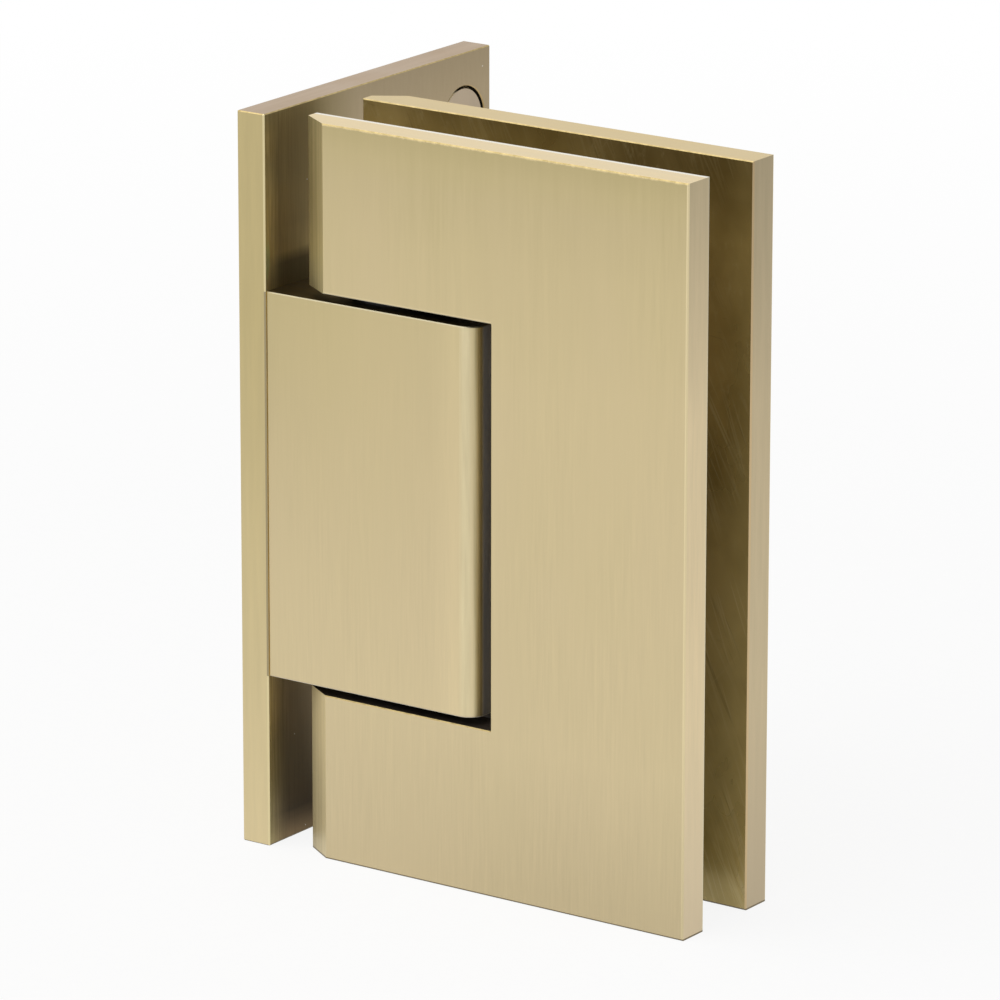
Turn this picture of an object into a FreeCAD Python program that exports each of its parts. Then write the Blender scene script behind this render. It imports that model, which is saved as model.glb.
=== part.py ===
import FreeCAD, Part
import Sketcher
import math
import os

# Wall-mounted glass shower door hinge with an offset wall plate.
# X runs from the wall into the door, -Y is the front, Z is up. The pin axis lies in the plane Y = 0.

doc = FreeCAD.newDocument("hinge")
sheet = doc.addObject("Spreadsheet::Sheet", "sheet")

SIZES = {
    # outer form
    "half_height": 45.0,
    "wall_thickness": 3.95,
    "wall_front": -8.95,
    "wall_back": 36.75,
    "plate_left": 8.4,
    "plate_right": 63.4,
    "half_depth": 8.75,
    "half_gap": 4.45,
    "bevel_run": 3.85,
    "bevel_drop": 2.5,
    "notch_end": 36.2,
    "notch_half": 24.6,
    "notch_corner": 0.15,
    "block_end": 33.9,
    "block_half": 23.65,
    "block_corner": 2.2,
    "edge_break": 0.12,
    # pivot
    "pin_place": 18.0,
    "pin_radius": 4.0,
    "pin_flat": 3.5,
    "pin_flat_reach": 13.0,
    "pin_end_radius": 3.0,
    "pin_end": 32.0,
    "bore_radius": 4.35,
    "bushing_outer": 5.5,
    "bushing_inner": 4.05,
    "bushing_length": 9.0,
    "seat_radius": 5.52,
    "washer_outer": 6.5,
    "washer_inner": 4.1,
    "washer_thickness": 0.8,
    # pin carriers between the clamp plates
    "carrier_left": 10.5,
    "carrier_right": 27.5,
    "carrier_half_depth": 4.43,
    "carrier_low": 24.75,
    "carrier_high": 33.75,
    "carrier_screw_near": 12.9,
    "carrier_screw_far": 24.5,
    "carrier_screw_level": 31.4,
    "carrier_thread": 1.5,
    "carrier_head": 2.9,
    "carrier_screw_tip": -7.0,
    "set_screw_level": 27.4,
    "set_screw_radius": 2.0,
    "set_screw_length": 6.0,
    # detents
    "plunger_level": 8.0,
    "plunger_bore": 3.5,
    "plunger_radius": 3.42,
    "plunger_nose": 13.9,
    "plunger_tail": 8.3,
    "plunger_pocket": 2.35,
    "plunger_pocket_depth": 3.6,
    "spring_radius": 1.75,
    "spring_wire_half": 0.5,
    "spring_turns": 4,
    # screws
    "wall_screw_place": 31.2,
    "wall_screw_level": 36.5,
    "wall_screw_rim": 4.4,
    "wall_screw_head": 4.02,
    "wall_screw_sink": 0.2,
    "wall_screw_recess": 1.0,
    "wall_screw_neck": 1.6,
    "wall_screw_thread": 2.1,
    "wall_screw_tip": -16.0,
    "wall_screw_hole": 2.3,
    "block_screw_level": 17.5,
    "block_screw_head": 4.5,
    "block_screw_thread": 2.5,
    "block_screw_tip": 10.9,
    "clamp_screw_place": 43.5,
    "clamp_screw_level": 17.0,
    "clamp_screw_head": 5.6,
    "clamp_screw_thread": 3.0,
    "clamp_screw_tip": -5.8,
    "boss_radius": 5.0,
    "boss_end": 4.2,
    "head_sink": 0.1,
    # drive recesses
    "recess_reach": 1.65,
    "recess_half_width": 0.55,
    "recess_depth": 1.5,
    "block_socket": 1.5,
    "block_socket_depth": 1.6,
    "clamp_socket": 2.0,
    "clamp_socket_depth": 2.0,
    "small_socket": 1.0,
    "small_socket_depth": 1.1,
    "set_socket_depth": 2.0,
    # turned ends
    "block_tip_chamfer": 0.5,
    "carrier_tip_chamfer": 0.4,
    "clamp_tip_chamfer": 0.6,
    "pin_chamfer": 0.4,
    "plunger_chamfer": 0.3,
    "wall_screw_point": 5.0,
    "wall_screw_point_radius": 0.2,
    # clearances
    "hole_room": 0.05,
    "fit_room": 0.02,
    "end_room": 0.05,
    "tip_room": 0.4,
}

for row, (alias, size) in enumerate(SIZES.items(), start=1):
    sheet.set("A%d" % row, alias)
    sheet.set("B%d" % row, str(size))
    sheet.setAlias("B%d" % row, alias)
doc.recompute()

ORIGIN = -1
exported = []


def origin_plane(body, role):
    for feature in body.Origin.OriginFeatures:
        if feature.Role == role:
            return feature
    raise ValueError(role)


def new_body(label):
    body = doc.addObject("PartDesign::Body", label)
    body.Label = label
    return body


def new_sketch(body, name, role, offset=None):
    """A sketch on one of the body's origin planes, moved along the plane's normal by an expression."""
    sketch = body.newObject("Sketcher::SketchObject", name)
    sketch.AttachmentSupport = (origin_plane(body, role), [""])
    sketch.MapMode = "FlatFace"
    if offset is not None:
        sketch.setExpression("AttachmentOffset.Base.z", offset)
    return sketch


def bind_point(sketch, geometry, point, across, up):
    """Holds one point of a sketch at two expressions measured from the sketch origin."""
    for kind, expression in (("DistanceX", across), ("DistanceY", up)):
        index = sketch.addConstraint(Sketcher.Constraint(kind, ORIGIN, 1, geometry, point, 1.0))
        sketch.setExpression("Constraints[%d]" % index, expression)


def add_polygon(sketch, corners):
    count = len(corners)
    ring = []
    for k in range(count):
        turn = 2.0 * math.pi * k / count
        ring.append(FreeCAD.Vector(10.0 * math.cos(turn), 10.0 * math.sin(turn), 0.0))
    lines = []
    for k in range(count):
        lines.append(sketch.addGeometry(Part.LineSegment(ring[k], ring[(k + 1) % count]), False))
    for k in range(count):
        sketch.addConstraint(Sketcher.Constraint("Coincident", lines[k], 2, lines[(k + 1) % count], 1))
    for line, (across, up) in zip(lines, corners):
        bind_point(sketch, line, 1, across, up)


def add_rectangle(sketch, left, low, right, high):
    add_polygon(sketch, [(left, low), (right, low), (right, high), (left, high)])


def add_axis(sketch, direction, place):
    """A construction line along the sketch's X or Y at the given place, to turn a profile about."""
    ends = [("-5", place), ("5", place)]
    if direction == "Y":
        ends = [(place, "-5"), (place, "5")]
    line = sketch.addGeometry(Part.LineSegment(FreeCAD.Vector(3, -5, 0), FreeCAD.Vector(3, 5, 0)), True)
    for point, (across, up) in enumerate(ends, start=1):
        bind_point(sketch, line, point, across, up)
    doc.recompute()


def add_circle(sketch, across, up, radius):
    normal = FreeCAD.Vector(0, 0, 1)
    circle = sketch.addGeometry(Part.Circle(FreeCAD.Vector(1, 1, 0), normal, 2.0), False)
    bind_point(sketch, circle, 3, across, up)
    index = sketch.addConstraint(Sketcher.Constraint("Radius", circle, 2.0))
    sketch.setExpression("Constraints[%d]" % index, radius)


def pad(body, sketch, length, reverse=False):
    feature = body.newObject("PartDesign::Pad", sketch.Name + "_pad")
    feature.Profile = sketch
    feature.setExpression("Length", length)
    feature.Reversed = reverse
    doc.recompute()
    return feature


def pocket(body, sketch, length, reverse=False):
    before = body.Shape.Volume
    feature = body.newObject("PartDesign::Pocket", sketch.Name + "_cut")
    feature.Profile = sketch
    feature.setExpression("Length", length)
    feature.Reversed = reverse
    doc.recompute()
    if not body.Shape.Volume < before - 1e-6:
        raise ValueError("%s removes nothing" % feature.Name)
    return feature


def revolve(body, sketch, axis):
    feature = body.newObject("PartDesign::Revolution", sketch.Name + "_turn")
    feature.Profile = sketch
    feature.ReferenceAxis = (sketch, [axis])
    feature.Angle = 360.0
    doc.recompute()
    return feature


def groove(body, sketch, axis):
    before = body.Shape.Volume
    feature = body.newObject("PartDesign::Groove", sketch.Name + "_cut")
    feature.Profile = sketch
    feature.ReferenceAxis = (sketch, [axis])
    feature.Angle = 360.0
    doc.recompute()
    if not body.Shape.Volume < before - 1e-6:
        raise ValueError("%s removes nothing" % feature.Name)
    return feature


def mirror_about(body, features, role):
    feature = body.newObject("PartDesign::Mirrored", body.Name + "_mirrored")
    feature.Originals = features
    feature.MirrorPlane = (origin_plane(body, role), [""])
    body.Tip = feature
    doc.recompute()
    return feature


def chosen_edges(shape, test):
    names = []
    for index, edge in enumerate(shape.Edges, start=1):
        if test(edge):
            names.append("Edge%d" % index)
    if not names:
        raise ValueError("no edge found")
    return names


def dress(body, kind, size_property, test, size):
    """Adds a fillet or chamfer on the edges of the body's tip that pass the test."""
    base = body.Tip
    feature = body.newObject("PartDesign::" + kind, "%s_%s%d" % (body.Name, kind.lower(), len(body.Group)))
    feature.Base = (base, chosen_edges(base.Shape, test))
    feature.setExpression(size_property, size)
    doc.recompute()
    return feature


def all_at(edge, axis, value):
    """True if the whole edge lies at one value along X, Y or Z."""
    box = edge.BoundBox
    low = getattr(box, axis + "Min")
    high = getattr(box, axis + "Max")
    return abs(low - value) < 1e-4 and abs(high - value) < 1e-4


def runs_along(edge, axis):
    box = edge.BoundBox
    spans = {"X": box.XLength, "Y": box.YLength, "Z": box.ZLength}
    return spans[axis] > 1e-4 and all(spans[other] < 1e-4 for other in spans if other != axis)


def value(alias):
    return SIZES[alias]


def cell(alias):
    return "sheet." + alias


def mirrored_pair(label, bodies, normal):
    """One node that holds each body and its mirror image as separate solids."""
    links = []
    for body in bodies:
        image = doc.addObject("Part::Mirroring", body.Name + "_image")
        image.Source = body
        image.Base = FreeCAD.Vector(0, 0, 0)
        image.Normal = normal
        links += [body, image]
    group = doc.addObject("Part::Compound", label)
    group.Label = label
    group.Links = links
    doc.recompute()
    return group


def image_of(label, source):
    image = doc.addObject("Part::Mirroring", label)
    image.Label = label
    image.Source = source
    image.Base = FreeCAD.Vector(0, 0, 0)
    image.Normal = FreeCAD.Vector(0, 0, 1)
    doc.recompute()
    return image


def finished(thing):
    exported.append(thing)
    return thing


UP = FreeCAD.Vector(0, 0, 1)


def build_wall_plate():
    body = new_body("wall_plate")
    outline = new_sketch(body, "wall_outline", "XY_Plane", "-sheet.half_height")
    add_rectangle(outline, "0", cell("wall_front"), cell("wall_thickness"), cell("wall_back"))
    pad(body, outline, "2 * sheet.half_height")

    def outer_edge(edge):
        if all_at(edge, "X", value("wall_thickness")) or all_at(edge, "X", 0.0):
            return True
        return runs_along(edge, "X")

    dress(body, "Chamfer", "Size", outer_edge, cell("edge_break"))

    # holes for the wall screws, from the door side: a broken edge, a straight recess and a countersink
    profile = new_sketch(body, "wall_screw_hole", "XY_Plane", cell("wall_screw_level"))
    axis = cell("wall_screw_place")
    rim = axis + " + sheet.wall_screw_rim"
    mouth = rim + " + sheet.edge_break"
    floor = "sheet.wall_thickness - sheet.wall_screw_recess"
    add_polygon(profile, [
        ("-1", axis),
        ("sheet.wall_thickness + 1", axis),
        ("sheet.wall_thickness + 1", mouth),
        ("sheet.wall_thickness", mouth),
        ("sheet.wall_thickness - sheet.edge_break", rim),
        (floor, rim),
        (floor + " - sheet.wall_screw_rim + sheet.wall_screw_hole", axis + " + sheet.wall_screw_hole"),
        ("-1", axis + " + sheet.wall_screw_hole"),
    ])
    add_axis(profile, "X", axis)
    wall_hole = groove(body, profile, "Axis0")

    # countersunk holes for the block screws, from the wall side
    profile = new_sketch(body, "block_screw_hole", "XY_Plane", cell("block_screw_level"))
    add_polygon(profile, [
        ("-1", "0"),
        ("sheet.wall_thickness + 1", "0"),
        ("sheet.wall_thickness + 1", "sheet.block_screw_thread + sheet.hole_room"),
        (
            "sheet.block_screw_head - sheet.block_screw_thread + sheet.head_sink",
            "sheet.block_screw_thread + sheet.hole_room",
        ),
        ("0", "sheet.block_screw_head + sheet.head_sink + sheet.hole_room"),
        ("-1", "sheet.block_screw_head + sheet.head_sink + sheet.hole_room"),
    ])
    block_hole = groove(body, profile, "H_Axis")
    mirror_about(body, [wall_hole, block_hole], "XY_Plane")
    return finished(body)


def turned_screw(label, level, profile, direction, place):
    """A screw turned about a line along X or Y at the given place and level."""
    body = new_body(label)
    sketch = new_sketch(body, label + "_profile", "XY_Plane", level)
    add_polygon(sketch, profile)
    add_axis(sketch, direction, place)
    revolve(body, sketch, "Axis0")
    return body


def cross_recess(body, face, across, up):
    """A cross-shaped drive recess cut into a screw head that faces along X."""
    reach = cell("recess_reach")
    half_width = cell("recess_half_width")
    for name, wide, tall in (("a", reach, half_width), ("b", half_width, reach)):
        sketch = new_sketch(body, "%s_drive_%s" % (body.Name, name), "YZ_Plane", face)
        add_rectangle(
            sketch,
            "%s - %s" % (across, wide),
            "%s - %s" % (up, tall),
            "%s + %s" % (across, wide),
            "%s + %s" % (up, tall),
        )
        pocket(body, sketch, cell("recess_depth"))


def build_wall_screws():
    top = "sheet.wall_thickness - sheet.wall_screw_sink"
    axis = cell("wall_screw_place")
    seat = "sheet.wall_thickness - sheet.wall_screw_recess - sheet.wall_screw_rim + sheet.fit_room"
    cone = seat + " + sheet.wall_screw_head"
    neck_end = seat + " + sheet.wall_screw_neck"
    body = turned_screw("wall_screw_upper", cell("wall_screw_level"), [
        (top, axis),
        (top, axis + " + sheet.wall_screw_head"),
        (cone, axis + " + sheet.wall_screw_head"),
        (neck_end, axis + " + sheet.wall_screw_neck"),
        ("0", axis + " + sheet.wall_screw_neck"),
        ("0", axis + " + sheet.wall_screw_thread"),
        ("sheet.wall_screw_tip + sheet.wall_screw_point", axis + " + sheet.wall_screw_thread"),
        ("sheet.wall_screw_tip", axis + " + sheet.wall_screw_point_radius"),
        ("sheet.wall_screw_tip", axis),
    ], "X", axis)
    cross_recess(body, top, axis, cell("wall_screw_level"))
    return finished(mirrored_pair("wall_screws", [body], UP))


def build_block_screws():
    top = cell("head_sink")
    body = turned_screw("block_screw_upper", cell("block_screw_level"), [
        (top, "0"),
        ("sheet.block_screw_tip", "0"),
        ("sheet.block_screw_tip", "sheet.block_screw_thread - sheet.block_tip_chamfer"),
        ("sheet.block_screw_tip - sheet.block_tip_chamfer", "sheet.block_screw_thread - sheet.fit_room"),
        (
            top + " + sheet.block_screw_head - sheet.block_screw_thread",
            "sheet.block_screw_thread - sheet.fit_room",
        ),
        (top, "sheet.block_screw_head - sheet.fit_room"),
    ], "X", "0")
    socket = new_sketch(body, "block_screw_socket", "YZ_Plane", top)
    add_hexagon(socket, "0", cell("block_screw_level"), cell("block_socket"))
    pocket(body, socket, cell("block_socket_depth"), True)
    return finished(mirrored_pair("block_screws", [body], UP))


def add_hexagon(sketch, across, up, flat):
    """A hexagon given by half its width across flats."""
    corners = []
    for k in range(6):
        corners.append((
            "%s + %s / cos(30) * cos(%d)" % (across, flat, 60 * k),
            "%s + %s / cos(30) * sin(%d)" % (up, flat, 60 * k),
        ))
    add_polygon(sketch, corners)


def build_pivot_block():
    body = new_body("pivot_block")
    outline = new_sketch(body, "block_outline", "XY_Plane", "-sheet.block_half")
    add_rectangle(outline, cell("wall_thickness"), "-sheet.half_depth", cell("block_end"), cell("half_depth"))
    pad(body, outline, "2 * sheet.block_half")

    def end_edge(edge):
        return runs_along(edge, "Z") and all_at(edge, "X", value("block_end"))

    dress(body, "Fillet", "Radius", end_edge, cell("block_corner"))

    def face_edge(edge):
        level = all_at(edge, "Z", value("block_half")) or all_at(edge, "Z", -value("block_half"))
        at_wall = all_at(edge, "X", value("wall_thickness"))
        return runs_along(edge, "Z") if at_wall else level

    dress(body, "Chamfer", "Size", face_edge, cell("edge_break"))

    bore = new_sketch(body, "pin_bore", "XY_Plane", "-sheet.block_half - 1")
    add_circle(bore, cell("pin_place"), "0", cell("bore_radius"))
    pocket(body, bore, "2 * sheet.block_half + 2", True)
    seat = new_sketch(body, "bushing_seat", "XY_Plane", "sheet.block_half - sheet.bushing_length")
    add_circle(seat, cell("pin_place"), "0", cell("seat_radius"))
    seat_cut = pocket(body, seat, "sheet.bushing_length + 1", True)
    guide = new_sketch(body, "plunger_guide", "YZ_Plane", cell("wall_thickness"))
    add_circle(guide, "0", cell("plunger_level"), cell("plunger_bore"))
    guide_cut = pocket(body, guide, "sheet.pin_place - sheet.wall_thickness", True)
    thread = new_sketch(body, "block_thread", "YZ_Plane", cell("wall_thickness"))
    add_circle(thread, "0", cell("block_screw_level"), cell("block_screw_thread"))
    thread_cut = pocket(
        body, thread, "sheet.block_screw_tip - sheet.wall_thickness + sheet.tip_room", True
    )
    mirror_about(body, [seat_cut, guide_cut, thread_cut], "XY_Plane")
    return finished(body)


def build_pivot_pin():
    body = new_body("pivot_pin")
    shaft = new_sketch(body, "pin_shaft", "XY_Plane", "-sheet.carrier_low")
    add_circle(shaft, cell("pin_place"), "0", cell("pin_radius"))
    pad(body, shaft, "2 * sheet.carrier_low")
    ends = new_sketch(body, "pin_ends", "XY_Plane", "-sheet.pin_end")
    add_circle(ends, cell("pin_place"), "0", cell("pin_end_radius"))
    pad(body, ends, "2 * sheet.pin_end")
    flats = new_sketch(body, "pin_flats", "XY_Plane", "-sheet.pin_flat_reach")
    add_circle(flats, cell("pin_place"), "0", "2 * sheet.pin_radius")
    add_rectangle(
        flats,
        "sheet.pin_place - sheet.pin_flat",
        "-sheet.pin_flat",
        "sheet.pin_place + sheet.pin_flat",
        cell("pin_flat"),
    )
    pocket(body, flats, "2 * sheet.pin_flat_reach", True)

    def tip_edge(edge):
        return all_at(edge, "Z", value("pin_end")) or all_at(edge, "Z", -value("pin_end"))

    dress(body, "Chamfer", "Size", tip_edge, cell("pin_chamfer"))
    return finished(body)


def build_ring(label, low, outer, inner, length):
    body = new_body(label)
    sketch = new_sketch(body, label + "_ring", "XY_Plane", low)
    add_circle(sketch, cell("pin_place"), "0", outer)
    add_circle(sketch, cell("pin_place"), "0", inner)
    pad(body, sketch, length)
    return finished(body)


def build_bearings():
    upper = "sheet.block_half - sheet.bushing_length"
    radii = (cell("bushing_outer"), cell("bushing_inner"))
    build_ring("upper_bushing", upper, *radii, cell("bushing_length"))
    build_ring("lower_bushing", "-sheet.block_half", *radii, cell("bushing_length"))
    radii = (cell("washer_outer"), cell("washer_inner"))
    build_ring("upper_washer", cell("block_half"), *radii, cell("washer_thickness"))
    build_ring("lower_washer", "-sheet.block_half - sheet.washer_thickness", *radii, cell("washer_thickness"))


def build_carriers():
    body = new_body("upper_carrier")
    outline = new_sketch(body, "carrier_outline", "XY_Plane", cell("carrier_low"))
    add_rectangle(
        outline, cell("carrier_left"), "-sheet.half_gap", cell("carrier_right"), cell("carrier_half_depth")
    )
    pad(body, outline, "sheet.carrier_high - sheet.carrier_low")
    bore = new_sketch(body, "carrier_bore", "XY_Plane", "sheet.carrier_low - 1")
    add_circle(bore, cell("pin_place"), "0", "sheet.pin_end_radius + sheet.fit_room")
    pocket(body, bore, "sheet.carrier_high - sheet.carrier_low + 2", True)
    lock = new_sketch(body, "set_screw_hole", "YZ_Plane", cell("pin_place"))
    add_circle(lock, "0", cell("set_screw_level"), "sheet.set_screw_radius + sheet.fit_room")
    pocket(body, lock, "sheet.carrier_right - sheet.pin_place + 1", True)
    for name in ("near", "far"):
        sink = new_sketch(body, "carrier_hole_" + name, "XY_Plane", cell("carrier_screw_level"))
        place = "sheet.carrier_screw_" + name
        face = cell("carrier_half_depth")
        rim = " + sheet.carrier_head + sheet.head_sink + sheet.hole_room"
        shank = " + sheet.carrier_thread + sheet.hole_room"
        add_polygon(sink, [
            (place, "-sheet.half_gap - 1"),
            (place, face + " + 1"),
            (place + rim, face + " + 1"),
            (place + rim, face),
            (place + shank, face + " - sheet.carrier_head + sheet.carrier_thread - sheet.head_sink"),
            (place + shank, "-sheet.half_gap - 1"),
        ])
        add_axis(sink, "Y", place)
        groove(body, sink, "Axis0")
    finished(body)
    finished(image_of("lower_carrier", body))


def build_carrier_screws():
    bodies = []
    for name in ("near", "far"):
        label = "carrier_screw_%s_upper" % name
        place = "sheet.carrier_screw_" + name
        top = "sheet.carrier_half_depth - sheet.head_sink"
        chamfer = cell("carrier_tip_chamfer")
        body = turned_screw(label, cell("carrier_screw_level"), [
            (place, cell("carrier_screw_tip")),
            (place, top),
            (place + " + sheet.carrier_head", top),
            (place + " + sheet.carrier_thread", top + " - sheet.carrier_head + sheet.carrier_thread"),
            (place + " + sheet.carrier_thread", "sheet.carrier_screw_tip + " + chamfer),
            (place + " + sheet.carrier_thread - " + chamfer, cell("carrier_screw_tip")),
        ], "Y", place)
        socket = new_sketch(body, label + "_socket", "XZ_Plane", "-(%s)" % top)
        add_hexagon(socket, place, cell("carrier_screw_level"), cell("small_socket"))
        pocket(body, socket, cell("small_socket_depth"), True)
        bodies.append(body)
    return finished(mirrored_pair("carrier_screws", bodies, UP))


def build_set_screws():
    body = new_body("pin_set_screw_upper")
    start = "sheet.pin_place + sheet.pin_end_radius + sheet.end_room"
    sketch = new_sketch(body, "set_screw_rod", "YZ_Plane", start)
    add_circle(sketch, "0", cell("set_screw_level"), cell("set_screw_radius"))
    pad(body, sketch, cell("set_screw_length"))
    socket = new_sketch(body, "set_screw_socket", "YZ_Plane", start + " + sheet.set_screw_length")
    add_hexagon(socket, "0", cell("set_screw_level"), cell("small_socket"))
    pocket(body, socket, cell("set_socket_depth"))
    return finished(mirrored_pair("pin_set_screws", [body], UP))


def build_clamp_plate(label, side):
    """side is -1 for the front plate and 1 for the rear one, its mirror image."""
    body = new_body(label)
    outer = "%d * sheet.half_depth" % side
    inner = "%d * sheet.half_gap" % side
    shoulder = "%d * (sheet.half_depth - sheet.bevel_drop)" % side
    outline = new_sketch(body, label + "_outline", "XY_Plane", "-sheet.half_height")
    add_polygon(outline, [
        (cell("plate_left"), inner),
        (cell("plate_right"), inner),
        (cell("plate_right"), outer),
        ("sheet.plate_left + sheet.bevel_run", outer),
        (cell("plate_left"), shoulder),
    ])
    pad(body, outline, "2 * sheet.half_height")
    notch = new_sketch(body, label + "_notch", "XZ_Plane", "-sheet.half_depth - 1")
    add_rectangle(notch, "sheet.plate_left - 1", "-sheet.notch_half", cell("notch_end"), cell("notch_half"))
    pocket(body, notch, "2 * sheet.half_depth + 2", True)

    def notch_corner(edge):
        return runs_along(edge, "Y") and all_at(edge, "X", value("notch_end"))

    dress(body, "Fillet", "Radius", notch_corner, cell("notch_corner"))
    bevel_edge = value("plate_left") + value("bevel_run")

    def face_edge(edge):
        if all_at(edge, "X", bevel_edge):
            return False
        return all_at(edge, "Y", side * value("half_depth")) or all_at(edge, "Y", side * value("half_gap"))

    dress(body, "Chamfer", "Size", face_edge, cell("edge_break"))
    return body


def build_front_plate():
    body = build_clamp_plate("front_clamp_plate", -1)
    boss = new_sketch(body, "boss", "XZ_Plane", cell("half_gap"))
    add_circle(boss, cell("clamp_screw_place"), cell("clamp_screw_level"), cell("boss_radius"))
    boss_pad = pad(body, boss, "sheet.half_gap + sheet.boss_end", True)
    thread = new_sketch(body, "clamp_thread", "XZ_Plane", "-sheet.boss_end - 1")
    add_circle(
        thread,
        cell("clamp_screw_place"),
        cell("clamp_screw_level"),
        "sheet.clamp_screw_thread + sheet.fit_room",
    )
    thread_cut = pocket(body, thread, "sheet.boss_end + 1 - sheet.clamp_screw_tip + sheet.tip_room", True)
    fixing = new_sketch(body, "carrier_thread_holes", "XZ_Plane", cell("half_gap"))
    for name in ("near", "far"):
        place = "sheet.carrier_screw_" + name
        add_circle(fixing, place, cell("carrier_screw_level"), "sheet.carrier_thread + sheet.fit_room")
    fixing_cut = pocket(body, fixing, "-sheet.carrier_screw_tip - sheet.half_gap + sheet.tip_room", True)
    mirror_about(body, [boss_pad, thread_cut, fixing_cut], "XY_Plane")
    return finished(body)


def build_rear_plate():
    body = build_clamp_plate("rear_clamp_plate", 1)
    sink = new_sketch(body, "clamp_sink", "XY_Plane", cell("clamp_screw_level"))
    place = cell("clamp_screw_place")
    rim = " + sheet.clamp_screw_head + sheet.head_sink + sheet.hole_room"
    shank = " + sheet.clamp_screw_thread + sheet.hole_room"
    add_polygon(sink, [
        (place, "sheet.half_gap - 1"),
        (place, "sheet.half_depth + 1"),
        (place + rim, "sheet.half_depth + 1"),
        (place + rim, cell("half_depth")),
        (
            place + shank,
            "sheet.half_depth - sheet.clamp_screw_head + sheet.clamp_screw_thread - sheet.head_sink",
        ),
        (place + shank, "sheet.half_gap - 1"),
    ])
    add_axis(sink, "Y", place)
    sink_cut = groove(body, sink, "Axis0")
    mirror_about(body, [sink_cut], "XY_Plane")
    return finished(body)


def build_clamp_screws():
    place = cell("clamp_screw_place")
    top = "sheet.half_depth - sheet.head_sink"
    chamfer = cell("clamp_tip_chamfer")
    body = turned_screw("clamp_screw_upper", cell("clamp_screw_level"), [
        (place, cell("clamp_screw_tip")),
        (place, top),
        (place + " + sheet.clamp_screw_head", top),
        (place + " + sheet.clamp_screw_thread", top + " - sheet.clamp_screw_head + sheet.clamp_screw_thread"),
        (place + " + sheet.clamp_screw_thread", "sheet.clamp_screw_tip + " + chamfer),
        (place + " + sheet.clamp_screw_thread - " + chamfer, cell("clamp_screw_tip")),
    ], "Y", place)
    socket = new_sketch(body, "clamp_screw_socket", "XZ_Plane", "-(%s)" % top)
    add_hexagon(socket, place, cell("clamp_screw_level"), cell("clamp_socket"))
    pocket(body, socket, cell("clamp_socket_depth"), True)
    return finished(mirrored_pair("clamp_screws", [body], UP))


def build_plungers():
    body = new_body("upper_plunger")
    rod = new_sketch(body, "plunger_rod", "YZ_Plane", cell("plunger_tail"))
    add_circle(rod, "0", cell("plunger_level"), cell("plunger_radius"))
    pad(body, rod, "sheet.plunger_nose - sheet.plunger_tail")
    hollow = new_sketch(body, "plunger_hollow", "YZ_Plane", cell("plunger_tail"))
    add_circle(hollow, "0", cell("plunger_level"), cell("plunger_pocket"))
    pocket(body, hollow, cell("plunger_pocket_depth"), True)

    def nose_edge(edge):
        return all_at(edge, "X", value("plunger_nose"))

    dress(body, "Chamfer", "Size", nose_edge, cell("plunger_chamfer"))
    finished(body)
    finished(image_of("lower_plunger", body))


def build_springs():
    """Die springs of square wire between the wall plate and the plungers."""
    body = new_body("upper_spring")
    wire = new_sketch(body, "spring_wire_section", "XZ_Plane")
    start = "sheet.wall_thickness + sheet.end_room"
    middle = "sheet.plunger_level + sheet.spring_radius"
    add_rectangle(
        wire,
        start,
        middle + " - sheet.spring_wire_half",
        start + " + 2 * sheet.spring_wire_half",
        middle + " + sheet.spring_wire_half",
    )
    add_axis(wire, "X", cell("plunger_level"))
    coil = body.newObject("PartDesign::AdditiveHelix", "spring_coil")
    coil.Profile = wire
    coil.ReferenceAxis = (wire, ["Axis0"])
    coil.Mode = "height-turns-angle"
    room = "sheet.plunger_tail + sheet.plunger_pocket_depth - sheet.wall_thickness"
    coil.setExpression("Height", room + " - 2 * sheet.spring_wire_half - 2 * sheet.end_room")
    coil.setExpression("Turns", cell("spring_turns"))
    coil.Angle = 0.0
    doc.recompute()
    finished(body)
    finished(image_of("lower_spring", body))


build_wall_plate()
build_wall_screws()
build_pivot_block()
build_block_screws()
build_bearings()
build_pivot_pin()
build_carriers()
build_carrier_screws()
build_set_screws()
build_front_plate()
build_rear_plate()
build_clamp_screws()
build_plungers()
build_springs()
doc.recompute()

for thing in doc.Objects:
    if "Invalid" in thing.State or "Error" in thing.State:
        raise ValueError("%s did not build" % thing.Name)

os.makedirs("parts", exist_ok=True)
for thing in exported:
    shape = thing.Shape
    if shape.isNull() or not shape.isValid():
        raise ValueError("%s has no valid shape" % thing.Label)
    shape.exportStep("parts/%s.step" % thing.Label)
    print(thing.Label, len(shape.Solids), round(shape.Volume, 2))
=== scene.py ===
import math

import bpy
from mathutils import Matrix, Vector


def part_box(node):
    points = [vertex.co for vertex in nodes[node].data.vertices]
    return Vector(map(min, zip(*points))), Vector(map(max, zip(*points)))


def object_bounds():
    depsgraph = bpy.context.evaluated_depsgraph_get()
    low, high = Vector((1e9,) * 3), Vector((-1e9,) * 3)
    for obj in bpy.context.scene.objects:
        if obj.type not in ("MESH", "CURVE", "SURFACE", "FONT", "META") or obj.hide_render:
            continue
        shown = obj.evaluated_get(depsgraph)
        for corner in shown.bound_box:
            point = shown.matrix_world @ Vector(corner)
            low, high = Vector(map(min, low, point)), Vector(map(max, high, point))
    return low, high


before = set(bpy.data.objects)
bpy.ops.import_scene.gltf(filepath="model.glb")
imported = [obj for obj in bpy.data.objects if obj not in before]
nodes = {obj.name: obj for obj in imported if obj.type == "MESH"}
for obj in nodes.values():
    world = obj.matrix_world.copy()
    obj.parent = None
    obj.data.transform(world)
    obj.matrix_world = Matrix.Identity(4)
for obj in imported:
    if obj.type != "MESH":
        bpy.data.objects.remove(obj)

cad_low, cad_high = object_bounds()
scene = bpy.context.scene

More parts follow.
